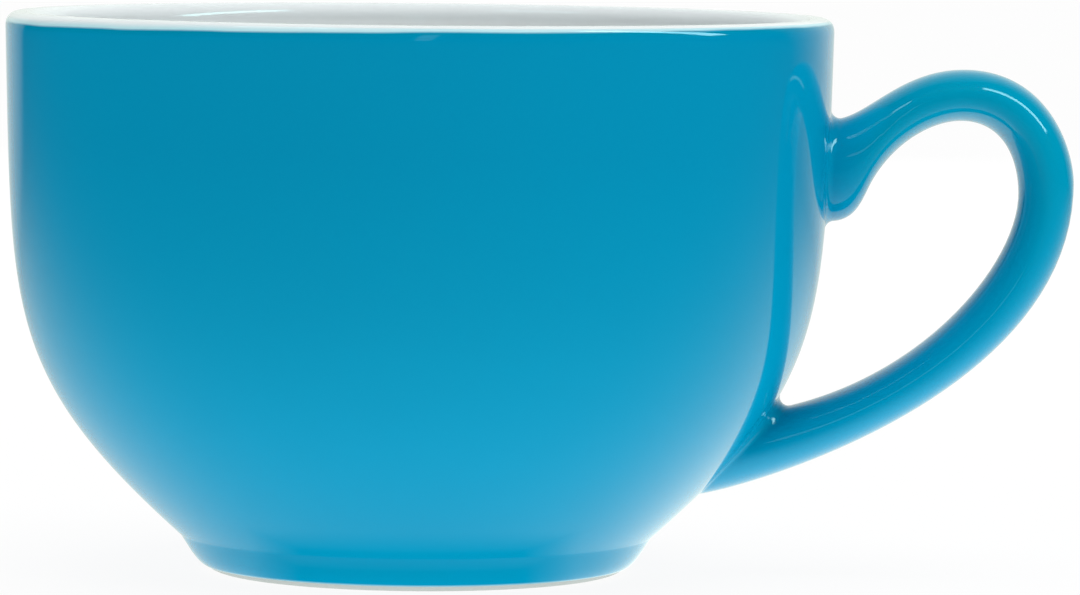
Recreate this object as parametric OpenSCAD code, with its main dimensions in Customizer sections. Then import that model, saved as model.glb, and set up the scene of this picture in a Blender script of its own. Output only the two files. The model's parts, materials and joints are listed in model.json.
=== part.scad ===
// Cappuccino cup: a wide rounded bowl on a small foot, with an ear-shaped handle.
// The clay bowl and handle are cast apart and luted together with slip, then glazed:
// white inside and over the lip, blue outside. The cup stands on the bare ring of its foot.
// Millimetres, +Z up. The origin is the centre of the foot, on the table. The handle is at +X.

/* [Bowl] */
// Diameter across the lip, over the glaze
rim_d = 105; // [98:0.5:114]
// Height from the table to the top of the lip, over the glaze
cup_h = 70.8; // [66:0.2:80]
// Thickness of the clay at the lip
wall_t = 3.4; // [2.6:0.1:4.2]
// Thickness of the clay where the wall meets the floor
base_t = 4.6; // [3.6:0.1:5.4]
// Height of the clay floor above the table
floor_z = 6.6; // [5.6:0.1:8]
// Diameter of the level part of the floor
floor_flat_d = 34; // [24:1:42]
// Radius of the turn from the floor up into the wall
floor_turn = 13; // [10:0.5:15]
// Drop from the top of the lip to the shoulder, where the wall becomes nearly upright
shoulder_drop = 10.8; // [8.8:0.1:14.8]
// How far below the shoulder the wall starts to draw in
shoulder_pull = 28.8; // [24:0.2:33]
// Lean of the wall from upright at the lip, in degrees
rim_lean = 1.4; // [0:0.1:3]

/* [Foot] */
// Diameter of the ring that stands on the table, at its outer edge
foot_d = 50.4; // [46:0.2:54]
// Width of the bare ring that stands on the table
foot_ring_w = 2.8; // [2:0.1:3.6]
// Roundness of the outer corner of the foot
foot_round = 2.2; // [1.4:0.1:2.8]
// Height of the foot, up to the waist where the bowl starts
foot_h = 4.8; // [4:0.1:5.6]
// Width by which the waist stands out past the ring on the table
foot_flare = 4.7; // [3.8:0.1:5.6]
// Length over which the foot turns into the flare
foot_pull = 0.8; // [0.5:0.1:1.4]
// Lean of the flare from upright, in degrees
flare_lean = 48; // [42:1:54]
// How far up the flare keeps its lean
flare_pull = 27.6; // [24:0.2:32]
// Depth of the hollow under the cup
recess_h = 2.3; // [1.6:0.1:2.8]
// Radius of the turn at the edge of the hollow
recess_turn = 2.2; // [1.4:0.1:3]

/* [Glaze] */
// Thickness of each coat of glaze
glaze_t = 0.3; // [0.2:0.05:0.4]
// Depth of the white band at the lip, above the blue coat
lip_band_h = 0.8; // [0.5:0.05:1.9]
// Height of the bare clay between the table and the blue coat
foot_bare_h = 0.7; // [0.4:0.05:1.2]

/* [Handle] */
// Drop from the top of the lip to the top of the upper root
root_drop = 12.8; // [9:0.2:18]
// Height of the upper root on the wall
root_h = 13; // [10:0.2:15]
// Height of the lower root's lowest point above the table
tail_z = 10; // [8:0.2:13]
// Height of the lower root on the wall
tail_h = 10.8; // [8:0.2:13]
// Reach of the handle past the lip
handle_reach = 30.7; // [27:0.1:36]
// Distance from the wall to the crown, the highest point of the handle
crown_out = 16.7; // [14:0.1:20]
// Rise of the crown above the upper root
crown_rise = 6.4; // [5:0.1:8]
// Thickness of the handle at the crown, seen from the side
crown_t = 6.5; // [5.6:0.1:8]
// Drop from the crown to the belly, the outermost point of the handle
belly_drop = 14.6; // [12:0.1:18]
// Thickness of the handle at the belly, seen from the side
belly_t = 7; // [6:0.1:8.4]
// Distance from the wall to the heel, under the upper root
heel_out = 5.8; // [5:0.1:7]
// Rise of the heel above the bottom of the upper root
heel_rise = 5.1; // [4:0.1:6]
// Steepness of the heel, in degrees
heel_angle = 61.2; // [54:0.2:66]
// Slope at which the handle's outer edge leaves the lower root, in degrees
tail_outer_angle = 0; // [0:0.5:8]
// Slope at which the handle's inner edge leaves the lower root, in degrees
tail_inner_angle = 10.5; // [6:0.5:14]
// Width of the handle across the grip, at the upper root
root_w = 15; // [12:0.2:17]
// Width of the handle at the crown
crown_w = 13.4; // [10.6:0.2:15.6]
// Width of the handle at the belly
belly_w = 12.2; // [10:0.2:14]
// Width of the handle at the lower root
tail_w = 14; // [11:0.2:16]
// Thickness of the slip between the handle and the bowl
slip_t = 0.8; // [0.6:0.05:1.2]

/* [Hidden] */

// Colours
clay_colour = "antiquewhite";
slip_colour = "tan";
blue_glaze_colour = "deepskyblue";
white_glaze_colour = "whitesmoke";

// Steps along each stretch of the outline, and round the handle
round_steps = 180;
foot_steps = 4;
wall_steps = 22;
lip_steps = 10;
edge_steps = 3;
floor_steps = 8;
recess_steps = 5;
handle_sides = 20;
crown_rings = 14;
belly_rings = 10;
tail_rings = 20;
cap_rings = 3;

// Where the inside leaves the wall for the floor, as a share of the way up the wall
floor_start_share = 0.15;
// How much of the hollow's edge is glazed
recess_glazed_share = 0.7;
// Lean of the hollow's edge from upright, in degrees
recess_lean = 25;

// Handle curves: how far each end of a stretch keeps its heading, as shares of its span
crown_outer_shares = [0.25, 0.50];
belly_outer_shares = [0.75, 0.33];
tail_outer_shares = [0.70, 0.06];
heel_shares = [0.69, 0.42];
crown_inner_shares = [0.51, 0.32];
belly_inner_shares = [0.76, 0.44];
tail_inner_shares = [0.32, 0.62];
// Slope at which the root's edges leave the wall, in degrees below level
root_slope = 5;
// Set back of the inner crown and of the inner belly, as shares of the thickness there
crown_set_share = 0.07;
belly_set_share = 0.18;
// How much faster the inner edge runs at first on the way down to the tail
tail_pace = 1.6;

// Radius at the lip, over the clay
rim_r = rim_d / 2 - glaze_t;
// Radius of the lip's rounding, in the clay
lip_r = wall_t / 2;
// Height of the centre of the lip's rounding
lip_z = cup_h - glaze_t - lip_r;
// Where the blue coat meets the white one, as an angle on the lip's rounding
lip_line = asin((cup_h - lip_band_h - lip_z) / (lip_r + glaze_t));

// Vectors
function lean(a) = [sin(a), cos(a)];
function right_of(d) = [d[1], -d[0]];
function mix(a, b, t) = a + (b - a) * t;
function ease(t) = t * t * (3 - 2 * t);

// A cubic curve through control points: the place at u, and the heading there
function place(c, u) =
    pow(1 - u, 3) * c[0] + 3 * pow(1 - u, 2) * u * c[1]
    + 3 * (1 - u) * u * u * c[2] + pow(u, 3) * c[3];
function heading(c, u) =
    let (d = pow(1 - u, 2) * (c[1] - c[0]) + 2 * (1 - u) * u * (c[2] - c[1]) + u * u * (c[3] - c[2]))
    d / norm(d);

// A stretch of the clay's outline: each entry is a point and the direction out of the clay
function walk(c, from, to, steps) = [
    for (i = [0 : steps])
        let (u = mix(from, to, i / steps))
        [place(c, u), right_of(heading(c, u))]
];
function points(w) = [for (e = w) e[0]];
function coated(w) = [for (e = w) e[0] + glaze_t * e[1]];
function reversed(v) = [for (i = [len(v) - 1 : -1 : 0]) v[i]];
function tail_of(v) = [for (i = [1 : len(v) - 1]) v[i]];

// Outside of the clay, from the foot up
waist = [foot_d / 2 + foot_flare, foot_h];
foot_curve = [
    [foot_d / 2, 0],
    [foot_d / 2 + foot_round, 0],
    waist - foot_pull * lean(flare_lean),
    waist
];
shoulder_z = cup_h - shoulder_drop;
shoulder = [rim_r - (lip_z - shoulder_z) * tan(rim_lean), shoulder_z];
wall_curve = [
    waist,
    waist + flare_pull * lean(flare_lean),
    shoulder - shoulder_pull * lean(rim_lean),
    shoulder
];
// Share of the foot's curve at which the blue coat starts
bare_share = lookup(foot_bare_h, [
    for (i = [0 : wall_steps]) [place(foot_curve, i / wall_steps)[1], i / wall_steps]
]);
foot_bare_walk = walk(foot_curve, 0, bare_share, foot_steps);
foot_walk = walk(foot_curve, bare_share, 1, foot_steps);
wall_walk = walk(wall_curve, 0, 1, wall_steps);
function lip_walk(from, to, steps) = [
    for (i = [0 : steps])
        let (a = mix(from, to, i / steps), n = [cos(a), sin(a)])
        [[rim_r - lip_r, lip_z] + lip_r * n, n]
];
blue_walk = concat(foot_walk, tail_of(wall_walk), lip_walk(0, lip_line, edge_steps));

// Inside of the clay, from the lip down to the axis
function wall_at(u) = mix(wall_t, base_t, pow(1 - u, 2));
function inside(u) =
    let (n = right_of(heading(wall_curve, u)))
    [place(wall_curve, u) - wall_at(u) * n, -n];
inside_walk = [
    for (i = [0 : wall_steps]) inside(mix(1, floor_start_share, i / wall_steps))
];
floor_start = inside(floor_start_share)[0];
floor_curve = [
    floor_start,
    floor_start - floor_turn * heading(wall_curve, floor_start_share),
    [floor_flat_d / 2, floor_z],
    [0, floor_z]
];
floor_walk = walk(floor_curve, 0, 1, floor_steps);
white_walk = concat(
    lip_walk(lip_line, 180, lip_steps), inside_walk, tail_of(floor_walk)
);

// Hollow under the cup, from the axis out to the foot
recess_end = [foot_d / 2 - foot_ring_w, 0];
recess_start = [recess_end[0] - recess_turn, recess_h];
recess_curve = [
    recess_start,
    [recess_end[0] - recess_turn / 2, recess_h],
    recess_end - recess_h / 2 * [sin(recess_lean), -cos(recess_lean)],
    recess_end
];
recess_glazed_walk = concat(
    [[[0, recess_h], [0, -1]]], walk(recess_curve, 0, recess_glazed_share, recess_steps)
);
recess_bare_walk = walk(recess_curve, recess_glazed_share, 1, edge_steps);

// Radius of the bowl at a height: bare clay, slip on it, and the coat of blue glaze
clay_table = [for (p = points(concat(foot_bare_walk, tail_of(blue_walk)))) [p[1], p[0]]];
coat_table = [for (p = coated(blue_walk)) [p[1], p[0]]];
function clay_r(z) = lookup(z, clay_table);
function slip_r(z) = clay_r(z) + slip_t;
function coat_r(z) = lookup(z, coat_table);

// Handle: its outer edge and its inner edge, seen from the side, over the glaze
root_top = cup_h - root_drop;
root_bottom = root_top - root_h;
tail_top = tail_z + tail_h;
crown = [rim_d / 2 + crown_out, root_top + crown_rise];
belly = [rim_d / 2 + handle_reach, crown[1] - belly_drop];
outer_root = [coat_r(root_top), root_top];
outer_tail = [coat_r(tail_z), tail_z];
inner_root = [coat_r(root_bottom), root_bottom];
inner_tail = [coat_r(tail_top), tail_top];
heel = [inner_root[0] + heel_out, root_bottom + heel_rise];
inner_crown = crown - crown_t * [crown_set_share, 1];
inner_belly = belly - belly_t * [1, belly_set_share];
level = [1, 0];
down = [0, -1];
root_heading = [cos(root_slope), -sin(root_slope)];
heel_heading = [cos(heel_angle), sin(heel_angle)];
tail_outer_heading = [cos(tail_outer_angle), sin(tail_outer_angle)];
tail_inner_heading = [cos(tail_inner_angle), sin(tail_inner_angle)];
// A stretch from a to b that leaves with one heading and arrives with another
function stretch(a, b, leave, arrive, span_a, span_b, shares) = [
    a, a + span_a * shares[0] * leave, b - span_b * shares[1] * arrive, b
];
outer_span = crown[0] - outer_root[0];
crown_outer = stretch(
    outer_root, crown, root_heading, level, outer_span, outer_span, crown_outer_shares
);
belly_outer = stretch(
    crown, belly, level, down, belly[0] - crown[0], crown[1] - belly[1], belly_outer_shares
);
tail_outer = stretch(
    belly, outer_tail, down, -tail_outer_heading,
    belly[1] - outer_tail[1], belly[0] - outer_tail[0], tail_outer_shares
);
heel_inner = stretch(
    inner_root, heel, root_heading, heel_heading, heel_out, heel_out, heel_shares
);
heel_span = inner_crown[0] - heel[0];
crown_inner = stretch(
    heel, inner_crown, heel_heading, level, heel_span, heel_span, crown_inner_shares
);
belly_inner = stretch(
    inner_crown, inner_belly, level, down,
    inner_belly[0] - inner_crown[0], inner_crown[1] - inner_belly[1], belly_inner_shares
);
tail_inner = stretch(
    inner_belly, inner_tail, down, -tail_inner_heading,
    inner_belly[1] - inner_tail[1], inner_belly[0] - inner_tail[0], tail_inner_shares
);
function root_inner(u) =
    u < 0.5 ? place(heel_inner, 2 * u) : place(crown_inner, 2 * u - 1);
function tail_step(u) = 1 - pow(1 - u, tail_pace);

// Rings of the handle: outer point, inner point and half the width across the grip
ring_table = concat(
    [for (i = [0 : crown_rings]) let (u = i / crown_rings)
        [place(crown_outer, u), root_inner(u), mix(root_w, crown_w, ease(u)) / 2]],
    [for (i = [1 : belly_rings]) let (u = i / belly_rings)
        [place(belly_outer, u), place(belly_inner, u), mix(crown_w, belly_w, ease(u)) / 2]],
    [for (i = [1 : tail_rings]) let (u = i / tail_rings)
        [place(tail_outer, u), place(tail_inner, tail_step(u)), mix(belly_w, tail_w, ease(u)) / 2]]
);
last_ring = len(ring_table) - 1;
// A ring drawn in by an inset, as points in space, and filled to a share of its size
function ring(i, inset, share = 1) =
    let (
        o = ring_table[i][0],
        n = ring_table[i][1],
        middle = (o + n) / 2,
        along = (o - n) / norm(o - n),
        high = (norm(o - n) / 2 - inset) * share,
        wide = (ring_table[i][2] - inset) * share
    )
    [
        for (k = [0 : handle_sides - 1])
            let (a = 360 * k / handle_sides, p = middle + high * cos(a) * along)
            [p[0], wide * sin(a), p[1]]
    ];
// Points carried level, along X, on to the slip or on to the coat of the bowl
function onto_slip(pts) = [for (p = pts) [sqrt(pow(slip_r(p[2]), 2) - pow(p[1], 2)), p[1], p[2]]];
function onto_coat(pts) = [for (p = pts) [sqrt(pow(coat_r(p[2]), 2) - pow(p[1], 2)), p[1], p[2]]];

// Triangles between ring i and ring j of a list of rings with the same number of points.
// Crossed ones split each four-sided face along its other diagonal.
function band(i, j, sides, crossed = false) = [
    for (k = [0 : sides - 1])
        let (
            a = i * sides + k,
            b = i * sides + (k + 1) % sides,
            c = j * sides + k,
            d = j * sides + (k + 1) % sides
        )
        each crossed ? [[a, b, c], [b, d, c]] : [[a, b, d], [a, d, c]]
];
function joined(rings) = [for (r = rings) each r];

// A solid skinned over rings, with a middle point that closes each end
module skinned(rings, first_middle, last_middle) {
    sides = len(rings[0]);
    end = len(rings) - 1;
    first = len(rings) * sides;
    polyhedron(
        points = concat(joined(rings), [first_middle, last_middle]),
        faces = concat(
            [for (i = [0 : end - 1]) each band(i, i + 1, sides)],
            [for (k = [0 : sides - 1]) [first, (k + 1) % sides, k]],
            [for (k = [0 : sides - 1]) [first + 1, end * sides + k, end * sides + (k + 1) % sides]]
        )
    );
}

// The wall of a tube: out along one list of rings and back along another, whose faces
// are crossed so that they lie in those of a solid skinned over the same rings
module tube_wall(outer_rings, inner_rings) {
    rings = concat(outer_rings, reversed(inner_rings));
    count = len(rings);
    turn = len(outer_rings);
    polyhedron(
        points = joined(rings),
        faces = [
            for (i = [0 : count - 1])
                each band(i, (i + 1) % count, len(rings[0]), i >= turn)
        ]
    );
}

// A coat of glaze on a stretch of the bowl's outline
module coat(w) {
    rotate_extrude($fn = round_steps)
        polygon(concat(points(w), reversed(coated(w))));
}

// The clay bowl, with its floor and foot ring, in one piece
module bowl() {
    color(clay_colour)
        rotate_extrude($fn = round_steps)
            polygon(concat(
                points(foot_bare_walk), tail_of(points(blue_walk)), tail_of(points(white_walk)),
                points(recess_glazed_walk), tail_of(points(recess_bare_walk))
            ));
}

// The outline in which a root of the handle meets the bowl, carried level through the wall
module root_prism(i) {
    rotate([90, 0, 90])
        linear_extrude(height = rim_d / 2 + handle_reach)
            polygon([for (p = ring(i, glaze_t)) [p[1], p[2]]]);
}

// Slip that lutes one root of the handle to the clay of the bowl
module slip_joint(i) {
    color(slip_colour)
        intersection() {
            rotate_extrude($fn = round_steps)
                polygon(concat(
                    points(wall_walk), reversed([for (p = points(wall_walk)) p + [slip_t, 0]])
                ));
            root_prism(i);
        }
}

module upper_handle_joint() {
    slip_joint(0);
}

module lower_handle_joint() {
    slip_joint(last_ring);
}

// The solid clay handle, with ends cut to the round of the wall
function end_cap(i, shares) = [for (s = shares) onto_slip(ring(i, glaze_t, s))];
cap_shares = [for (c = [1 : cap_rings]) c / (cap_rings + 1)];
function end_middle(i) = onto_slip([ring(i, glaze_t, 0)[0]])[0];
handle_body_rings = concat(
    [onto_slip(ring(0, glaze_t))],
    [for (i = [1 : last_ring - 1]) ring(i, glaze_t)],
    [onto_slip(ring(last_ring, glaze_t))]
);
module handle() {
    color(clay_colour)
        skinned(
            concat(end_cap(0, cap_shares), handle_body_rings, end_cap(last_ring, reversed(cap_shares))),
            end_middle(0), end_middle(last_ring)
        );
}

// The blue coat on the outside of the bowl, open where the handle is luted on
module outer_glaze() {
    color(blue_glaze_colour)
        difference() {
            coat(blue_walk);
            root_prism(0);
            root_prism(last_ring);
        }
}

// The blue coat on the handle and on the slip at its roots
module handle_glaze() {
    color(blue_glaze_colour)
        tube_wall(
            concat(
                [onto_coat(ring(0, 0))],
                [for (i = [1 : last_ring - 1]) ring(i, 0)],
                [onto_coat(ring(last_ring, 0))]
            ),
            concat(
                [onto_coat(ring(0, glaze_t))],
                handle_body_rings,
                [onto_coat(ring(last_ring, glaze_t))]
            )
        );
}

// The white coat inside and over the lip
module liner_glaze() {
    color(white_glaze_colour)
        coat(white_walk);
}

// The white coat in the hollow under the cup
module base_glaze() {
    color(white_glaze_colour)
        coat(recess_glazed_walk);
}

bowl();
handle();
upper_handle_joint();
lower_handle_joint();
outer_glaze();
handle_glaze();
liner_glaze();
base_glaze();
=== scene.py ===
import json
import math

import bmesh
import bpy
from mathutils import Matrix, Vector

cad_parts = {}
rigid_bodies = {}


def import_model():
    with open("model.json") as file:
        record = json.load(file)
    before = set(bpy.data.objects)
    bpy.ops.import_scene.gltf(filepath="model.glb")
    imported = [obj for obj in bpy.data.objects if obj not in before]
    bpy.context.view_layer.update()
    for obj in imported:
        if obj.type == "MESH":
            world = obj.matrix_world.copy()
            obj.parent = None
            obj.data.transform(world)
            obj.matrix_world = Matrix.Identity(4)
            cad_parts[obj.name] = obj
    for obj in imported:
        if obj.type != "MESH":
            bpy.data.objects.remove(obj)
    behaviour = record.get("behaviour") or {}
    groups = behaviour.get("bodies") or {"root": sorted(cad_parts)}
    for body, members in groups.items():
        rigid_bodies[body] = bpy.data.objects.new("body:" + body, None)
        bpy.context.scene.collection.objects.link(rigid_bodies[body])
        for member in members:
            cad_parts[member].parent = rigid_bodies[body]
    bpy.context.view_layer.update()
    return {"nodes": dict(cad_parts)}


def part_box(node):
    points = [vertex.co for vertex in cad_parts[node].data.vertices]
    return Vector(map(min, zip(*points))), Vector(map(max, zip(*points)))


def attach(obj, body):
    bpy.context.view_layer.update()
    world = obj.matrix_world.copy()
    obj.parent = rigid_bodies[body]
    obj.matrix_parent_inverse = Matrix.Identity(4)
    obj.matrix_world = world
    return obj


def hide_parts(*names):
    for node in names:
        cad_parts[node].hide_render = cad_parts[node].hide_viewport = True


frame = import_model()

# Sizes of the cup, in metres. The clay and its coats follow the same curves as the CAD part.
MM = 0.001
RIM_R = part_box("outer_glaze")[1].x
CUP_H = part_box("liner_glaze")[1].z
GLAZE = 0.3 * MM
WALL = 3.4 * MM
BASE_WALL = 4.6 * MM
FLOOR_Z = 6.6 * MM
FLOOR_FLAT_R = 17 * MM
FLOOR_TURN = 13 * MM
# Where the inside leaves the wall for the floor, as a share of the way up the wall
FLOOR_START_SHARE = 0.15
SHOULDER_Z = 60 * MM
SHOULDER_PULL = 28.8 * MM
RIM_LEAN = math.radians(1.4)
# The blue coat ends this far below the top of the lip, painted white down to a wavy line
LIP_BAND = 0.30 * MM
# How square the lip is on its outside, and its inside, a half round
LIP_SQUARE = 2.7
LIP_ROUND = 2
FOOT_R = 25.2 * MM
FOOT_RING = 2.8 * MM
FOOT_ROUND = 2.2 * MM
FOOT_H = 4.8 * MM
FOOT_FLARE = 4.7 * MM
FOOT_PULL = 0.8 * MM
FOOT_BARE = 0.7 * MM
FLARE_LEAN = math.radians(48)
FLARE_PULL = 27.6 * MM
RECESS_H = 2.3 * MM
RECESS_TURN = 2.2 * MM
RECESS_LEAN = math.radians(25)
RECESS_GLAZED_SHARE = 0.7

# The handle, over the glaze: its roots on the wall, and its curves seen from the side
ROOT_DROP = 12.8 * MM
ROOT_H = 13 * MM
ROOT_SLOPE = math.radians(5)
TAIL_Z = 10 * MM
TAIL_H = 10.8 * MM
TAIL_INNER_ANGLE = math.radians(10.5)
TAIL_PACE = 1.6
CROWN_OUT = 16.7 * MM
CROWN_RISE = 6.4 * MM
CROWN_T = 6.5 * MM
CROWN_SET_SHARE = 0.07
BELLY_DROP = 14.6 * MM
BELLY_T = 7 * MM
BELLY_SET_SHARE = 0.18
HEEL_OUT = 5.8 * MM
HEEL_RISE = 5.1 * MM
HEEL_ANGLE = math.radians(61.2)
# How far each end of a curve keeps its heading, as shares of its span
CROWN_OUTER_SHARES = (0.25, 0.50)
BELLY_OUTER_SHARES = (0.75, 0.33)
TAIL_OUTER_SHARES = (0.70, 0.06)
HEEL_INNER_SHARES = (0.69, 0.42)
CROWN_INNER_SHARES = (0.51, 0.32)
BELLY_INNER_SHARES = (0.76, 0.44)
TAIL_INNER_SHARES = (0.32, 0.62)
# Widths across the grip
ROOT_W = 15 * MM
CROWN_W = 13.4 * MM
BELLY_W = 12.2 * MM
TAIL_W = 14 * MM
# Round of glaze in the corner between handle and wall, how deep its edge is let into the
# wall's coat, where along the handle the corner's slope is read, and how far it may reach
SEAM_FILLET = 1.2 * MM
SEAM_SINK = 0.03 * MM
SEAM_PROBE = 0.07
SEAM_LIMIT = 0.8
# Height over which the slope of the wall is read
SLOPE_PROBE = 0.2 * MM
# How far along the handle its ends are fitted to the wall, as a share of the way to the crown
FIT_REACH = 0.4
# The stations of its two ends
UPPER_ROOT = 0
LOWER_ROOT = 3

# Fineness of the meshes
TURN_STEPS = 192
BARE_STEPS = 10
FOOT_STEPS = 22
WALL_STEPS = 90
STRAIGHT_STEPS = 8
BLUE_LIP_STEPS = 14
WHITE_LIP_STEPS = 12
INNER_LIP_STEPS = 16
INSIDE_STEPS = 60
FLOOR_STEPS = 24
RECESS_STEPS = 14
RECESS_BARE_STEPS = 8
# Points over which a coat thins to nothing, above the bare foot and in the hollow
BLUE_THINS = 8
BASE_THINS = 5
HANDLE_SIDES = 48
ROOT_RINGS = 14
BODY_RINGS = 90
FILLET_STEPS = 8
HALVINGS = 40
MERGE = 0.002 * MM
SMOOTH_ANGLE = math.radians(40)
COAT_SMOOTH_ANGLE = math.radians(60)

# Colours of the glazes and the clay
BLUE = (0.0, 0.297, 0.50)
# The upper and the handle blues are painted shade: the cup is darker towards the top
UPPER_SHADE_BLUE = (0.0, 0.252, 0.44)
HANDLE_SHADE_BLUE = (0.0, 0.28, 0.44)
DEEP_BLUE = (0.0, 0.235, 0.37)
PALE_BLUE = (0.42, 0.70, 0.76)
WHITE = (0.84, 0.875, 0.88)
# A darker white over the lip, painted shade
SHADED_RIM_WHITE = (0.74, 0.79, 0.80)
# The clay's own grey, darkened further as painted shade of the contact shadow on the bare foot
CLAY_AND_SHADE = (0.46, 0.50, 0.48)
# The darker tone of each, as a share of the colour, and the even part of the blue's clouds
BLUE_TONE = 0.93
WHITE_TONE = 0.96
CLAY_TONE = 0.85
CLOUD_SPREAD = 0.5
CLOUD_LEAST = 0.25
# Fineness of the clouds, waves and specks, per metre
BLUE_CLOUDS = 90.0
WHITE_CLOUDS = 60.0
LINE_WAVES = 55.0
GLAZE_WAVES = 70.0
CLAY_SPECKS = 2500.0
SPECK_DETAIL = 4.0
# Depth of the waves in the glaze and of the grain of the clay
GLAZE_BUMP = 0.02 * MM
CLAY_BUMP = 0.05 * MM
BLUE_GLOSS = 0.05
WHITE_GLOSS = 0.08
CLAY_MATT = 0.85
CLAY_SHEEN = 0.3
# The wavy line between white and blue, in millimetres below the lip, from the handle's side
# (1) across to the other (-1): its depth there is bow * across^2 + tilt * across + middle
LINE_MIDDLE = 0.62
LINE_TILT = -0.36
LINE_BOW = 0.24
LINE_WAVE = 0.5
# How far the white takes to pale above the line, and the pale and the deep blue below it
WHITE_FADE = 0.65
PALE_FADE = 0.25
DEEP_FADE = 0.9
BARE_FADE = 0.3
# Where the upper blue, a painted shade darker towards the top, sets in on the wall, and the
# handle's lighter painted shade beyond the rim
UPPER_SHADE_START = 30 * MM
UPPER_SHADE_FADE = 25 * MM
HANDLE_FADE = 6 * MM
# The white is painted darker from here up over the lip, as painted shade
RIM_SHADE_START = CUP_H - 2.6 * MM
RIM_SHADE_FADE = 1.2 * MM

# Lights, each with its energy
SKY = 0.15
OVERHEAD = 3.0
OVERHEAD_AT = (0.1, -0.1, 1.2)
OVERHEAD_ANGLE = math.radians(55)
LIGHT_AIM = (0, 0, 0.04)
BOXES = [
    ("right_box", (1.2, -0.55, 0.45), 2.8),
    ("left_box", (-1.3, -0.15, 0.45), 0.9),
]
BOX_SIZE = 0.8
BACK = 13
BACK_AT = (0, 0.9, 0.45)
BACK_SIZE = (3.0, 0.8)
# Slim lights: place, the way that the strip runs, its size and its energy
STRIP_AIM = (0.072, 0, 0.055)
STRIP_COLOUR = (0.55, 1, 1)
STRIPS = [
    ("right_strip", (0.2175, -0.036, 0.227), (0.175, 0.0325, -0.144), (0.229, 0.045), 0.30),
    ("left_strip", (-0.075, -0.012, 0.269), (0.16, -0.1, 0.09), (0.07, 0.03), 0.022),
    ("front_strip", (0.012, -0.25, 0.14), (0, 0, 1), (0.13, 0.02), 0.007),
]
# Floor: its size, the white that the camera sees, and the light that it gives the cup
FLOOR_SIZE = 60
FLOOR_PALE = 0.99
FLOOR_GREY = (0.8, 0.8, 0.8, 1)
LIT_SHARE = 0.06
FLOOR_GLOW = 1.26
FLOOR_BOUNCE = (0.25, 0.25, 0.25, 1)
# What the glaze mirrors: a pale backdrop behind the cup, dark on the camera's side, which sets
# in at one share of the way round on the left and at another on the right, and fades with height
MIRROR_TINT = (0.93, 1, 0.93, 1)
BACKDROP = 0.59
BACKDROP_MOST = 1.4
LEFT_START = 0.77
LEFT_FADE = 0.12
RIGHT_START = 0.5
RIGHT_FADE = 0.34
RIGHT_POWER = 1.5
ROOF_START = 0.97
ROOF_FADE = 0.65
ROOF_SLANT = 0.54
# And a pool of light on the floor that reaches much further behind the cup than before it
POOL = 1.46
POOL_TILT = 0.24
POOL_REACH = 0.0168
POOL_BACK = 1.81
POOL_FALL = 2.57
SPREAD = 0.0127
# The dark of the cup's own shadow, close to the foot and in front of it
CONTACT_R = 0.0298
CONTACT_FADE = 0.003
CONTACT_FRONT = 0.85
CONTACT_EDGE = 5
CONTACT_SOFT = 0.3

# Camera: a long lens close to the level of the lip
LENS = 223.9
SENSOR = 36
CAMERA_AT = (0.01552, -0.8527, 0.09478)
CAMERA_DIP = 4.02
CAMERA_ROLL = 0.583
CAMERA_NEAR = 0.05
CAMERA_FAR = 100


def lean(angle):
    return Vector((math.sin(angle), math.cos(angle)))


def facing(angle):
    return Vector((math.cos(angle), math.sin(angle)))


def place(curve, u):
    a, b, c, d = curve
    v = 1 - u
    return v ** 3 * a + 3 * v * v * u * b + 3 * v * u * u * c + u ** 3 * d


def heading(curve, u):
    a, b, c, d = curve
    v = 1 - u
    return (v * v * (b - a) + 2 * v * u * (c - b) + u * u * (d - c)).normalized()


def right_of(direction):
    return Vector((direction.y, -direction.x))


def walk(curve, start, end, steps):
    """A stretch of the outline: points, each with the direction out of the clay."""
    shares = [start + (end - start) * i / steps for i in range(steps + 1)]
    return [(place(curve, u), right_of(heading(curve, u))) for u in shares]


# Outline of the clay: outside from the foot up, over the lip, inside down to the axis
rim_r = RIM_R - GLAZE
lip_r = WALL / 2
lip_z = CUP_H - GLAZE - lip_r
lip_line = math.asin(((CUP_H - LIP_BAND - lip_z) / (lip_r + GLAZE)) ** (LIP_SQUARE / 2))
waist = Vector((FOOT_R + FOOT_FLARE, FOOT_H))
foot_curve = (
    Vector((FOOT_R, 0)),
    Vector((FOOT_R + FOOT_ROUND, 0)),
    waist - FOOT_PULL * lean(FLARE_LEAN),
    waist,
)
shoulder = Vector((rim_r - (lip_z - SHOULDER_Z) * math.tan(RIM_LEAN), SHOULDER_Z))
wall_curve = (
    waist,
    waist + FLARE_PULL * lean(FLARE_LEAN),
    shoulder - SHOULDER_PULL * lean(RIM_LEAN),
    shoulder,
)


def last_below(reached, low, high):
    """The furthest value between low and high at which reached is still false."""
    for _ in range(HALVINGS):
        middle = (low + high) / 2
        if reached(middle):
            high = middle
        else:
            low = middle
    return low


def lip(start, end, steps):
    """The outside is a little squarer than the round inside."""
    out = []
    for i in range(steps + 1):
        a = start + (end - start) * i / steps
        outside = a < math.pi / 2
        power = LIP_SQUARE if outside else LIP_ROUND
        across, up = abs(math.cos(a)) ** (2 / power), math.sin(a) ** (2 / power)
        side = 1 if outside else -1
        n = Vector((side * across ** (power - 1), up ** (power - 1))).normalized()
        out.append((Vector((rim_r - lip_r + lip_r * side * across, lip_z + lip_r * up)), n))
    return out


def straight(start, end, steps):
    n = right_of((end - start).normalized())
    return [(start + (end - start) * i / steps, n) for i in range(steps + 1)]


def inside(u):
    n = right_of(heading(wall_curve, u))
    thick = WALL + (BASE_WALL - WALL) * (1 - u) ** 2
    return (place(wall_curve, u) - thick * n, -n)


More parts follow.
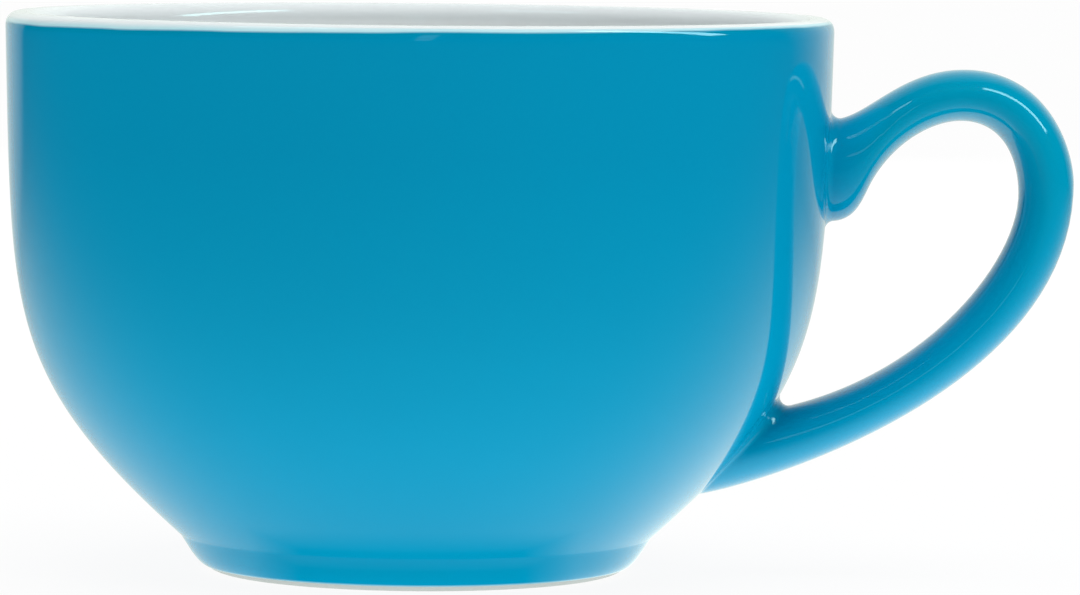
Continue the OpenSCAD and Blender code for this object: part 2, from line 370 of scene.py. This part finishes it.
bare = last_below(lambda u: place(foot_curve, u).y >= FOOT_BARE, 0.0, 1.0)
foot_bare_walk = walk(foot_curve, 0, bare, BARE_STEPS)
blue_walk = (
    walk(foot_curve, bare, 1, FOOT_STEPS)
    + walk(wall_curve, 0, 1, WALL_STEPS)[1:]
    + straight(shoulder, Vector((rim_r, lip_z)), STRAIGHT_STEPS)[1:]
    + lip(0, lip_line, BLUE_LIP_STEPS)[1:]
)
floor_start = inside(FLOOR_START_SHARE)[0]
floor_curve = (
    floor_start,
    floor_start - FLOOR_TURN * heading(wall_curve, FLOOR_START_SHARE),
    Vector((FLOOR_FLAT_R, FLOOR_Z)),
    Vector((0, FLOOR_Z)),
)
inside_walk = [
    inside(1 - (1 - FLOOR_START_SHARE) * i / INSIDE_STEPS) for i in range(INSIDE_STEPS + 1)
]
white_walk = (
    lip(lip_line, math.pi / 2, WHITE_LIP_STEPS)
    + lip(math.pi / 2, math.pi, INNER_LIP_STEPS)[1:]
    + straight(Vector((rim_r - WALL, lip_z)), inside_walk[0][0], STRAIGHT_STEPS)[1:]
    + inside_walk[1:]
    + walk(floor_curve, 0, 1, FLOOR_STEPS)[1:]
)
recess_end = Vector((FOOT_R - FOOT_RING, 0))
recess_curve = (
    Vector((recess_end.x - RECESS_TURN, RECESS_H)),
    Vector((recess_end.x - RECESS_TURN / 2, RECESS_H)),
    recess_end - RECESS_H / 2 * Vector((math.sin(RECESS_LEAN), -math.cos(RECESS_LEAN))),
    recess_end,
)
recess_walk = [(Vector((0, RECESS_H)), Vector((0, -1)))] + walk(
    recess_curve, 0, RECESS_GLAZED_SHARE, RECESS_STEPS
)
recess_bare_walk = walk(recess_curve, RECESS_GLAZED_SHARE, 1, RECESS_BARE_STEPS)


def deselect():
    for o in bpy.context.view_layer.objects:
        o.select_set(False)
    bpy.context.view_layer.objects.active = None


def new_piece(name):
    piece = bpy.context.object
    piece.name = name
    piece.data.name = name
    return piece


def settle(piece):
    """Merges the doubled points, turns the faces outwards and puts the place into the mesh."""
    bpy.ops.object.mode_set(mode="EDIT")
    bpy.ops.mesh.select_all(action="SELECT")
    bpy.ops.mesh.remove_doubles(threshold=MERGE)
    bpy.ops.mesh.normals_make_consistent(inside=False)
    bpy.ops.object.mode_set(mode="OBJECT")
    bpy.ops.object.transform_apply(location=True, rotation=True, scale=True)
    bpy.ops.object.shade_smooth_by_angle(angle=SMOOTH_ANGLE)
    return piece


def turned(name, outline, closed):
    """A piece turned on the wheel: one point, extruded along the outline, spun about the axis."""
    deselect()
    bpy.ops.mesh.primitive_plane_add(size=MM)
    piece = new_piece(name)
    bpy.ops.object.mode_set(mode="EDIT")
    bpy.ops.mesh.merge(type="CENTER")
    at = Vector((0, 0, 0))
    for point in outline:
        step = Vector((point.x, 0, point.y)) - at
        if point is outline[0]:
            bpy.ops.transform.translate(value=step)
        else:
            bpy.ops.mesh.extrude_region_move(TRANSFORM_OT_translate={"value": step})
        at += step
    if closed:
        step = Vector((outline[0].x, 0, outline[0].y)) - at
        bpy.ops.mesh.extrude_region_move(TRANSFORM_OT_translate={"value": step})
    bpy.ops.mesh.select_all(action="SELECT")
    bpy.ops.mesh.spin(
        steps=TURN_STEPS, angle=2 * math.pi, center=(0, 0, 0), axis=(0, 0, 1)
    )
    return settle(piece)


def points(stretch):
    return [p for p, n in stretch]


def coated(stretch, ease_start=0, ease_end=0):
    """The face of the glaze over a stretch, thinning to nothing over its first or last points."""
    out = []
    last = len(stretch) - 1
    for i, (p, n) in enumerate(stretch):
        s = 1.0
        if i < ease_start:
            s = math.sqrt(1 - (1 - i / ease_start) ** 2)
        if last - i < ease_end:
            s = math.sqrt(1 - (1 - (last - i) / ease_end) ** 2)
        out.append(p + GLAZE * s * n)
    return out


bowl_clay = turned(
    "bowl_clay",
    points(foot_bare_walk)
    + points(blue_walk)[1:]
    + points(white_walk)[1:]
    + points(recess_walk)
    + points(recess_bare_walk)[1:],
    closed=True,
)
blue_coat = turned(
    "blue_coat",
    coated(blue_walk, ease_start=BLUE_THINS) + points(blue_walk)[:0:-1],
    closed=True,
)
liner_coat = turned(
    "liner_coat", coated(white_walk) + points(white_walk)[::-1], closed=True
)
base_coat = turned(
    "base_coat",
    coated(recess_walk, ease_end=BASE_THINS) + points(recess_walk)[-2::-1],
    closed=False,
)

# Radius of the cup over the glaze, by height
coat_table = [(p.y, p.x) for p in coated(blue_walk)]


def coat_r(z):
    if z <= coat_table[0][0]:
        return coat_table[0][1]
    for (z0, r0), (z1, r1) in zip(coat_table, coat_table[1:]):
        if z <= z1:
            return r0 + (r1 - r0) * (z - z0) / (z1 - z0)
    return coat_table[-1][1]


def on_wall(y, z, depth=0.0):
    r = coat_r(z) - depth
    return math.sqrt(r * r - y * y)


def stretch(a, b, leave, arrive, span_a, span_b, shares):
    """A curve from a to b that leaves with one heading and arrives with another."""
    return (a, a + span_a * shares[0] * leave, b - span_b * shares[1] * arrive, b)


LEVEL = Vector((1, 0))
DOWN = Vector((0, -1))
root_top = CUP_H - ROOT_DROP
root_bottom = root_top - ROOT_H
tail_top = TAIL_Z + TAIL_H
crown = Vector((RIM_R + CROWN_OUT, root_top + CROWN_RISE))
belly = Vector((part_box("handle_glaze")[1].x, crown.y - BELLY_DROP))
outer_root = Vector((coat_r(root_top), root_top))
inner_root = Vector((coat_r(root_bottom), root_bottom))
outer_tail = Vector((coat_r(TAIL_Z), TAIL_Z))
inner_tail = Vector((coat_r(tail_top), tail_top))
heel = inner_root + Vector((HEEL_OUT, HEEL_RISE))
inner_crown = crown - CROWN_T * Vector((CROWN_SET_SHARE, 1))
inner_belly = belly - BELLY_T * Vector((1, BELLY_SET_SHARE))
root_heading = facing(-ROOT_SLOPE)
heel_heading = facing(HEEL_ANGLE)
tail_heading = facing(TAIL_INNER_ANGLE)
span = crown.x - outer_root.x
crown_outer = stretch(
    outer_root, crown, root_heading, LEVEL, span, span, CROWN_OUTER_SHARES
)
belly_outer = stretch(
    crown, belly, LEVEL, DOWN, belly.x - crown.x, crown.y - belly.y, BELLY_OUTER_SHARES
)
tail_outer = stretch(
    belly, outer_tail, DOWN, -LEVEL,
    belly.y - outer_tail.y, belly.x - outer_tail.x, TAIL_OUTER_SHARES,
)
heel_inner = stretch(
    inner_root, heel, root_heading, heel_heading, HEEL_OUT, HEEL_OUT, HEEL_INNER_SHARES
)
span = inner_crown.x - heel.x
crown_inner = stretch(
    heel, inner_crown, heel_heading, LEVEL, span, span, CROWN_INNER_SHARES
)
belly_inner = stretch(
    inner_crown, inner_belly, LEVEL, DOWN,
    inner_belly.x - inner_crown.x, inner_crown.y - inner_belly.y, BELLY_INNER_SHARES,
)
tail_inner = stretch(
    inner_belly, inner_tail, DOWN, -tail_heading,
    inner_belly.y - inner_tail.y, inner_belly.x - inner_tail.x, TAIL_INNER_SHARES,
)


def ease(t):
    return t * t * (3 - 2 * t)


def half_width(first, last, u):
    return (first + (last - first) * ease(u)) / 2


def station(s):
    """Outer point, inner point and half the width at s: 0 upper root, 1 crown, 2 belly, 3 tail."""
    if s <= 1:
        inner = place(heel_inner, 2 * s) if s < 0.5 else place(crown_inner, 2 * s - 1)
        return place(crown_outer, s), inner, half_width(ROOT_W, CROWN_W, s)
    if s <= 2:
        u = s - 1
        return place(belly_outer, u), place(belly_inner, u), half_width(CROWN_W, BELLY_W, u)
    u = s - 2
    inner = place(tail_inner, 1 - (1 - u) ** TAIL_PACE)
    return place(tail_outer, u), inner, half_width(BELLY_W, TAIL_W, u)


def tube_point(s, k, inset):
    """Point k of the ring at station s, before the handle is fitted to the round of the wall."""
    outer, inner, half = station(s)
    a = 2 * math.pi * k / HANDLE_SIDES
    p = (outer + inner) / 2 + ((outer - inner).length / 2 - inset) * math.cos(a) * (
        outer - inner
    ).normalized()
    return Vector((p.x, (half - inset) * math.sin(a), p.y))


def column(k, inset):
    """The line that point k follows from root to root, as a function of the station."""
    first = tube_point(UPPER_ROOT, k, inset)
    last = tube_point(LOWER_ROOT, k, inset)
    first_shift = on_wall(first.y, first.z) - first.x
    last_shift = on_wall(last.y, last.z) - last.x

    def at(s):
        p = tube_point(s, k, inset)
        p.x += first_shift * ease(max(0, 1 - s / FIT_REACH))
        p.x += last_shift * ease(max(0, 1 - (LOWER_ROOT - s) / FIT_REACH))
        return p

    return at


def wall_normal(p):
    r = math.hypot(p.x, p.y)
    slope = (coat_r(p.z + SLOPE_PROBE) - coat_r(p.z - SLOPE_PROBE)) / (2 * SLOPE_PROBE)
    return Vector((p.x / r, p.y / r, -slope)).normalized()


def fillet(columns, end, away):
    """Rounds of glaze in the corner at one root, wall side first, and where each column starts."""
    corners = [at(end) for at in columns]
    middle = sum(corners, Vector()) / len(corners)
    arcs = []
    starts = []
    for k, at in enumerate(columns):
        c = corners[k]
        seam = (corners[(k + 1) % len(corners)] - corners[k - 1]).normalized()
        along_wall = wall_normal(c).cross(seam).normalized()
        if along_wall.dot(c - middle) < 0:
            along_wall = -along_wall
        off = at(end + SEAM_PROBE * away) - c
        off = (off - off.dot(seam) * seam).normalized()
        half = math.acos(max(-1, min(1, off.dot(along_wall)))) / 2
        reach = SEAM_FILLET / math.tan(half)
        far = last_below(lambda s: (at(end + s * away) - c).length >= reach, 0.0, SEAM_LIMIT)
        starts.append(end + far * away)
        hub = c + SEAM_FILLET / math.sin(half) * (off + along_wall).normalized()
        from_wall = c + reach * along_wall - hub
        to_tube = c + reach * off - hub
        turn = math.pi - 2 * half
        drift = at(starts[-1]) - (c + reach * off)
        arc = []
        for i in range(FILLET_STEPS):
            t = i / FILLET_STEPS
            spoke = (
                from_wall * math.sin((1 - t) * turn) + to_tube * math.sin(t * turn)
            ) / math.sin(turn)
            arc.append(hub + spoke + t * drift)
        arc[0].x = on_wall(arc[0].y, arc[0].z, SEAM_SINK)
        arcs.append(arc)
    return [[arc[i] for arc in arcs] for i in range(FILLET_STEPS)], starts


def coat_rings():
    columns = [column(k, 0) for k in range(HANDLE_SIDES)]
    rings, starts = fillet(columns, UPPER_ROOT, 1)
    for i in range(ROOT_RINGS):
        t = i / ROOT_RINGS
        rings.append([at(a + (FIT_REACH - a) * t) for at, a in zip(columns, starts)])
    for i in range(BODY_RINGS + 1):
        s = FIT_REACH + (LOWER_ROOT - 2 * FIT_REACH) * i / BODY_RINGS
        rings.append([at(s) for at in columns])
    arcs, starts = fillet(columns, LOWER_ROOT, -1)
    for i in range(ROOT_RINGS):
        t = 1 - (i + 1) / ROOT_RINGS
        rings.append([
            at(a + (LOWER_ROOT - FIT_REACH - a) * t) for at, a in zip(columns, starts)
        ])
    return rings + arcs[::-1]


def clay_rings():
    columns = [column(k, GLAZE) for k in range(HANDLE_SIDES)]
    return [
        [at(LOWER_ROOT * i / BODY_RINGS) for at in columns] for i in range(BODY_RINGS + 1)
    ]


def handle_skin(name, rings):
    """The handle, extruded ring by ring from its upper root round to its lower one."""
    deselect()
    bpy.ops.mesh.primitive_circle_add(vertices=HANDLE_SIDES, radius=ROOT_W / 2)
    piece = new_piece(name)
    bpy.ops.object.mode_set(mode="EDIT")
    mesh = bmesh.from_edit_mesh(piece.data)
    place_of = mesh.verts.layers.int.new("place")
    for v in mesh.verts:
        turn = math.atan2(v.co.y, v.co.x) / (2 * math.pi)
        v[place_of] = round(turn * HANDLE_SIDES) % HANDLE_SIDES
    for ring in rings:
        if ring is not rings[0]:
            bpy.ops.mesh.extrude_region_move(TRANSFORM_OT_translate={"value": (0, 0, 0)})
        mesh = bmesh.from_edit_mesh(piece.data)
        place_of = mesh.verts.layers.int["place"]
        for v in mesh.verts:
            if v.select:
                v.co = ring[v[place_of]]
        bmesh.update_edit_mesh(piece.data)
    bpy.ops.object.mode_set(mode="OBJECT")
    return piece


handle_coat = handle_skin("handle_coat", coat_rings())
settle(handle_coat)
thick = handle_coat.modifiers.new("coat", "SOLIDIFY")
thick.thickness = GLAZE
thick.offset = -1
bpy.ops.object.modifier_apply(modifier=thick.name)
bpy.ops.object.shade_smooth_by_angle(angle=COAT_SMOOTH_ANGLE)

handle_clay = handle_skin("handle_clay", clay_rings())
bpy.ops.object.mode_set(mode="EDIT")
bpy.ops.mesh.select_all(action="DESELECT")
bpy.ops.mesh.select_non_manifold()
bpy.ops.mesh.fill_holes(sides=HANDLE_SIDES)
bpy.ops.object.mode_set(mode="OBJECT")
settle(handle_clay)


# Materials
def material(name):
    m = bpy.data.materials.new(name)
    m.use_nodes = True
    nodes = m.node_tree.nodes
    nodes.clear()
    out = nodes.new("ShaderNodeOutputMaterial")
    shader = nodes.new("ShaderNodeBsdfPrincipled")
    m.node_tree.links.new(shader.outputs["BSDF"], out.inputs["Surface"])
    return m, nodes, m.node_tree.links, shader


def own_place(nodes, links):
    """The piece's own coordinates, and the same along each axis."""
    where = nodes.new("ShaderNodeTexCoord").outputs["Object"]
    axes = nodes.new("ShaderNodeSeparateXYZ")
    links.new(where, axes.inputs[0])
    return where, axes.outputs["X"], axes.outputs["Y"], axes.outputs["Z"]


def reckoner(nodes, links):
    """Sums on sockets and numbers, one Math node for each."""
    def calc(operation, *values):
        n = nodes.new("ShaderNodeMath")
        n.operation = operation
        for value, socket in zip(values, n.inputs):
            if isinstance(value, (int, float)):
                socket.default_value = value
            else:
                links.new(value, socket)
        return n.outputs[0]

    return calc


def rising(calc, value, start, fade):
    """0 up to the start, rising to 1 over the fade."""
    share = calc("DIVIDE", calc("SUBTRACT", value, start), fade)
    return calc("MINIMUM", calc("MAXIMUM", share, 0), 1)


def grain(nodes, links, where, scale, detail=2.0):
    n = nodes.new("ShaderNodeTexNoise")
    n.inputs["Scale"].default_value = scale
    n.inputs["Detail"].default_value = detail
    links.new(where, n.inputs["Vector"])
    return n.outputs["Fac"]


def tinted(nodes, links, share, first, second):
    """A mix of two colours; each is a colour or a socket."""
    n = nodes.new("ShaderNodeMix")
    n.data_type = "RGBA"
    links.new(share, n.inputs["Factor"])
    for value, socket in ((first, n.inputs[6]), (second, n.inputs[7])):
        if isinstance(value, tuple):
            socket.default_value = (*value, 1)
        else:
            links.new(value, socket)
    return n.outputs[2]


def darker(colour, share):
    return tuple(share * c for c in colour)


def uneven(nodes, links, shader, height, distance):
    n = nodes.new("ShaderNodeBump")
    n.inputs["Strength"].default_value = 1
    n.inputs["Distance"].default_value = distance
    links.new(height, n.inputs["Height"])
    links.new(n.outputs["Normal"], shader.inputs["Normal"])


def blue_glaze():
    """Blue glaze that pales where it thins out, at the lip and above the bare foot."""
    m, nodes, links, shader = material("blue_glaze")
    where, x, y, z = own_place(nodes, links)
    calc = reckoner(nodes, links)
    # Below the wavy line of the white glaze: how far, in millimetres
    across = calc("DIVIDE", x, RIM_R)
    line = calc("MULTIPLY_ADD", across, LINE_BOW, LINE_TILT)
    line = calc("MULTIPLY_ADD", line, across, LINE_MIDDLE)
    wave = calc("SUBTRACT", grain(nodes, links, where, LINE_WAVES), 0.5)
    line = calc("MULTIPLY_ADD", wave, LINE_WAVE, line)
    depth = calc("DIVIDE", calc("SUBTRACT", CUP_H, z), MM)
    below = calc("SUBTRACT", depth, line)
    tone = calc(
        "MULTIPLY_ADD", grain(nodes, links, where, BLUE_CLOUDS), CLOUD_SPREAD, CLOUD_LEAST
    )
    colour = tinted(nodes, links, tone, BLUE, darker(BLUE, BLUE_TONE))
    # Painted shade: the blue darkens towards the top, a little less on the handle
    on_handle = rising(calc, x, RIM_R, HANDLE_FADE)
    upper = tinted(nodes, links, on_handle, UPPER_SHADE_BLUE, HANDLE_SHADE_BLUE)
    colour = tinted(nodes, links, rising(calc, z, UPPER_SHADE_START, UPPER_SHADE_FADE), colour, upper)
    colour = tinted(nodes, links, rising(calc, below, 0, DEEP_FADE), DEEP_BLUE, colour)
    colour = tinted(nodes, links, rising(calc, below, 0, PALE_FADE), PALE_BLUE, colour)
    # Above the wavy line the blue coat turns to the darker rim white, painted shade
    to_pale = rising(calc, below, -WHITE_FADE, WHITE_FADE)
    colour = tinted(nodes, links, to_pale, SHADED_RIM_WHITE, colour)
    off_foot = rising(calc, calc("DIVIDE", z, MM), FOOT_BARE / MM, BARE_FADE)
    colour = tinted(nodes, links, off_foot, PALE_BLUE, colour)
    links.new(colour, shader.inputs["Base Color"])
    shader.inputs["Roughness"].default_value = BLUE_GLOSS
    uneven(nodes, links, shader, grain(nodes, links, where, GLAZE_WAVES, 1.0), GLAZE_BUMP)
    return m


def white_glaze():
    """White glaze, with painted shade that makes it less white over the lip."""
    m, nodes, links, shader = material("white_glaze")
    where, x, y, z = own_place(nodes, links)
    cloud = grain(nodes, links, where, WHITE_CLOUDS)
    colour = tinted(nodes, links, cloud, WHITE, darker(WHITE, WHITE_TONE))
    # Painted shade: the white darkens over the top of the lip
    rim_shade = rising(reckoner(nodes, links), z, RIM_SHADE_START, RIM_SHADE_FADE)
    links.new(tinted(nodes, links, rim_shade, colour, SHADED_RIM_WHITE), shader.inputs["Base Color"])
    shader.inputs["Roughness"].default_value = WHITE_GLOSS
    uneven(nodes, links, shader, grain(nodes, links, where, GLAZE_WAVES, 1.0), GLAZE_BUMP)
    return m


def matt_clay(name, colour):
    m, nodes, links, shader = material(name)
    where = own_place(nodes, links)[0]
    specks = grain(nodes, links, where, CLAY_SPECKS, SPECK_DETAIL)
    links.new(
        tinted(nodes, links, specks, colour, darker(colour, CLAY_TONE)),
        shader.inputs["Base Color"],
    )
    shader.inputs["Roughness"].default_value = CLAY_MATT
    shader.inputs["Specular IOR Level"].default_value = CLAY_SHEEN
    uneven(nodes, links, shader, specks, CLAY_BUMP)
    return m


blue = blue_glaze()
white = white_glaze()
# The bare clay colour holds painted shade of the foot's contact shadow as well as its own grey
clay = matt_clay("bare_clay_and_shade", CLAY_AND_SHADE)
slip = matt_clay("slip", darker(CLAY_AND_SHADE, CLAY_TONE))


def finish_piece(piece, m, slot_name, *nodes):
    piece.data.materials.clear()
    piece.data.materials.append(m)
    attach(piece, "root")
    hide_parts(*nodes)


finish_piece(bowl_clay, clay, "clay", "bowl")
finish_piece(handle_clay, clay, "clay", "handle")
finish_piece(blue_coat, blue, "blue_glaze", "outer_glaze")
finish_piece(handle_coat, blue, "blue_glaze", "handle_glaze")
finish_piece(liner_coat, white, "white_glaze", "liner_glaze")
finish_piece(base_coat, white, "white_glaze", "base_glaze")
for name in ("upper_handle_joint", "lower_handle_joint"):
    joint = frame["nodes"][name]
    joint.data.materials.clear()
    joint.data.materials.append(slip)


# Floor, surroundings and light
def node(nodes, kind, **values):
    n = nodes.new("ShaderNode" + kind)
    for key, value in values.items():
        n.inputs[key].default_value = value
    return n


def blended(nodes, links, share, first, second):
    """A mix of two shaders; the share is a socket or a number."""
    mix = nodes.new("ShaderNodeMixShader")
    if isinstance(share, float):
        mix.inputs[0].default_value = share
    else:
        links.new(share, mix.inputs[0])
    links.new(first.outputs[0], mix.inputs[1])
    links.new(second.outputs[0], mix.inputs[2])
    return mix


def backdrop_seen(calc, x, y):
    """How far off, how much behind the cup (-1 to 1) and how light a place or direction is."""
    r = calc("SQRT", calc("MULTIPLY_ADD", x, x, calc("MULTIPLY", y, y)))
    behind = calc("DIVIDE", y, r)
    left = calc("DIVIDE", calc("SUBTRACT", behind, LEFT_START), LEFT_FADE)
    left = calc("SQRT", calc("MAXIMUM", left, 0))
    right = calc("DIVIDE", calc("SUBTRACT", behind, RIGHT_START), RIGHT_FADE)
    right = calc("POWER", calc("MAXIMUM", right, 0), RIGHT_POWER)
    on_left = calc("LESS_THAN", x, 0)
    level = calc("MULTIPLY_ADD", calc("SUBTRACT", left, right), on_left, right)
    return r, behind, calc("MINIMUM", level, BACKDROP_MOST)


def floor_surface():
    """White to the camera, a soft light to the cup, and the pool of light in its mirror."""
    m = bpy.data.materials.new("floor")
    m.use_nodes = True
    nodes, links = m.node_tree.nodes, m.node_tree.links
    nodes.clear()
    calc = reckoner(nodes, links)
    where, x, y, z = own_place(nodes, links)
    r, behind, backdrop = backdrop_seen(calc, x, y)
    reach = calc("EXPONENT", calc("MULTIPLY_ADD", behind, POOL_BACK, POOL_BACK))
    reach = calc("MULTIPLY", reach, POOL_REACH)
    fall = calc("ADD", calc("POWER", calc("DIVIDE", r, reach), POOL_FALL), 1)
    pool = calc("MULTIPLY_ADD", calc("DIVIDE", x, r), POOL * POOL_TILT, POOL)
    pool = calc("ADD", calc("DIVIDE", pool, fall), calc("DIVIDE", SPREAD, r))
    contact = calc("DIVIDE", calc("SUBTRACT", r, CONTACT_R), CONTACT_FADE)
    contact = calc("MAXIMUM", contact, 0)
    beside = calc("MULTIPLY", calc("ADD", behind, CONTACT_FRONT), CONTACT_EDGE)
    contact = calc("SMOOTH_MIN", calc("MAXIMUM", contact, beside), 1, CONTACT_SOFT)
    level = calc("MULTIPLY", calc("MAXIMUM", pool, backdrop), contact)
    level = calc("MULTIPLY", level, BACKDROP)
    mirrored = node(nodes, "Emission", Color=MIRROR_TINT)
    links.new(level, mirrored.inputs["Strength"])
    to_cup = nodes.new("ShaderNodeAddShader")
    links.new(node(nodes, "BsdfDiffuse", Color=FLOOR_BOUNCE).outputs[0], to_cup.inputs[0])
    links.new(node(nodes, "Emission", Strength=FLOOR_GLOW).outputs[0], to_cup.inputs[1])
    seen = blended(
        nodes, links, LIT_SHARE,
        node(nodes, "Emission", Strength=FLOOR_PALE),
        node(nodes, "BsdfDiffuse", Color=FLOOR_GREY),
    )
    path = nodes.new("ShaderNodeLightPath")
    shade = blended(nodes, links, path.outputs["Is Camera Ray"], to_cup, seen)
    shade = blended(nodes, links, path.outputs["Is Glossy Ray"], shade, mirrored)
    out = nodes.new("ShaderNodeOutputMaterial")
    links.new(shade.outputs[0], out.inputs["Surface"])
    return m


def surroundings():
    """White to the camera, a low sky to the cup, and the pale backdrop in its mirror."""
    world = bpy.data.worlds.new("studio")
    world.use_nodes = True
    nodes, links = world.node_tree.nodes, world.node_tree.links
    nodes.clear()
    calc = reckoner(nodes, links)
    axes = nodes.new("ShaderNodeSeparateXYZ")
    links.new(nodes.new("ShaderNodeTexCoord").outputs["Generated"], axes.inputs[0])
    behind, level = backdrop_seen(calc, axes.outputs["X"], axes.outputs["Y"])[1:]
    # The backdrop fades with height, and lower down towards its sides
    height = calc("MULTIPLY_ADD", calc("SUBTRACT", 1, behind), ROOF_SLANT, axes.outputs["Z"])
    roof = calc("DIVIDE", calc("SUBTRACT", ROOF_START, height), ROOF_FADE)
    roof = calc("MULTIPLY", calc("MINIMUM", calc("MAXIMUM", roof, 0), 1), BACKDROP)
    mirrored = node(nodes, "Background", Color=MIRROR_TINT)
    links.new(calc("MULTIPLY", level, roof), mirrored.inputs["Strength"])
    sky = node(nodes, "Background", Color=(1, 1, 1, 1), Strength=SKY)
    bright = node(nodes, "Background", Color=(1, 1, 1, 1), Strength=1.0)
    path = nodes.new("ShaderNodeLightPath")
    shade = blended(nodes, links, path.outputs["Is Camera Ray"], sky, bright)
    shade = blended(nodes, links, path.outputs["Is Glossy Ray"], shade, mirrored)
    out = nodes.new("ShaderNodeOutputWorld")
    links.new(shade.outputs[0], out.inputs["Surface"])
    return world


deselect()
bpy.ops.mesh.primitive_plane_add(size=FLOOR_SIZE)
floor = new_piece("floor")
floor.data.materials.append(floor_surface())
bpy.context.scene.world = surroundings()


def aimed(name, kind, at, energy):
    data = bpy.data.lights.new(name, kind)
    data.energy = energy
    o = bpy.data.objects.new(name, data)
    bpy.context.scene.collection.objects.link(o)
    o.location = at
    o.rotation_euler = (Vector(LIGHT_AIM) - Vector(at)).to_track_quat("-Z", "Y").to_euler()
    o.visible_glossy = False
    return o


overhead = aimed("overhead", "SUN", OVERHEAD_AT, OVERHEAD)
overhead.data.angle = OVERHEAD_ANGLE
for name, at, energy in BOXES:
    box = aimed(name, "AREA", at, energy)
    box.data.size = BOX_SIZE
# The pale backdrop lights the cup from behind as well
back = aimed("backdrop", "AREA", BACK_AT, BACK)
back.data.shape = "RECTANGLE"
back.data.size, back.data.size_y = BACK_SIZE

# Slim lights that only show in the glaze: the streaks on the handle and the glint at the front
for name, at, along, size, energy in STRIPS:
    strip = aimed(name, "AREA", at, energy)
    back_way = (Vector(at) - Vector(STRIP_AIM)).normalized()
    along = (Vector(along) - Vector(along).dot(back_way) * back_way).normalized()
    strip.matrix_world = Matrix.Translation(at) @ Matrix(
        (along, back_way.cross(along), back_way)
    ).transposed().to_4x4()
    strip.data.shape = "RECTANGLE"
    strip.data.size, strip.data.size_y = size
    strip.data.color = STRIP_COLOUR
    strip.visible_glossy = True
    strip.visible_diffuse = False

data = bpy.data.cameras.new("camera")
data.lens = LENS
data.sensor_width = SENSOR
data.clip_start = CAMERA_NEAR
data.clip_end = CAMERA_FAR
camera = bpy.data.objects.new("camera", data)
bpy.context.scene.collection.objects.link(camera)
camera.matrix_world = (
    Matrix.Translation(CAMERA_AT)
    @ Matrix.Rotation(math.radians(90 - CAMERA_DIP), 4, "X")
    @ Matrix.Rotation(math.radians(CAMERA_ROLL), 4, "Z")
)
bpy.context.scene.camera = camera

bpy.context.scene.view_settings.view_transform = "Standard"
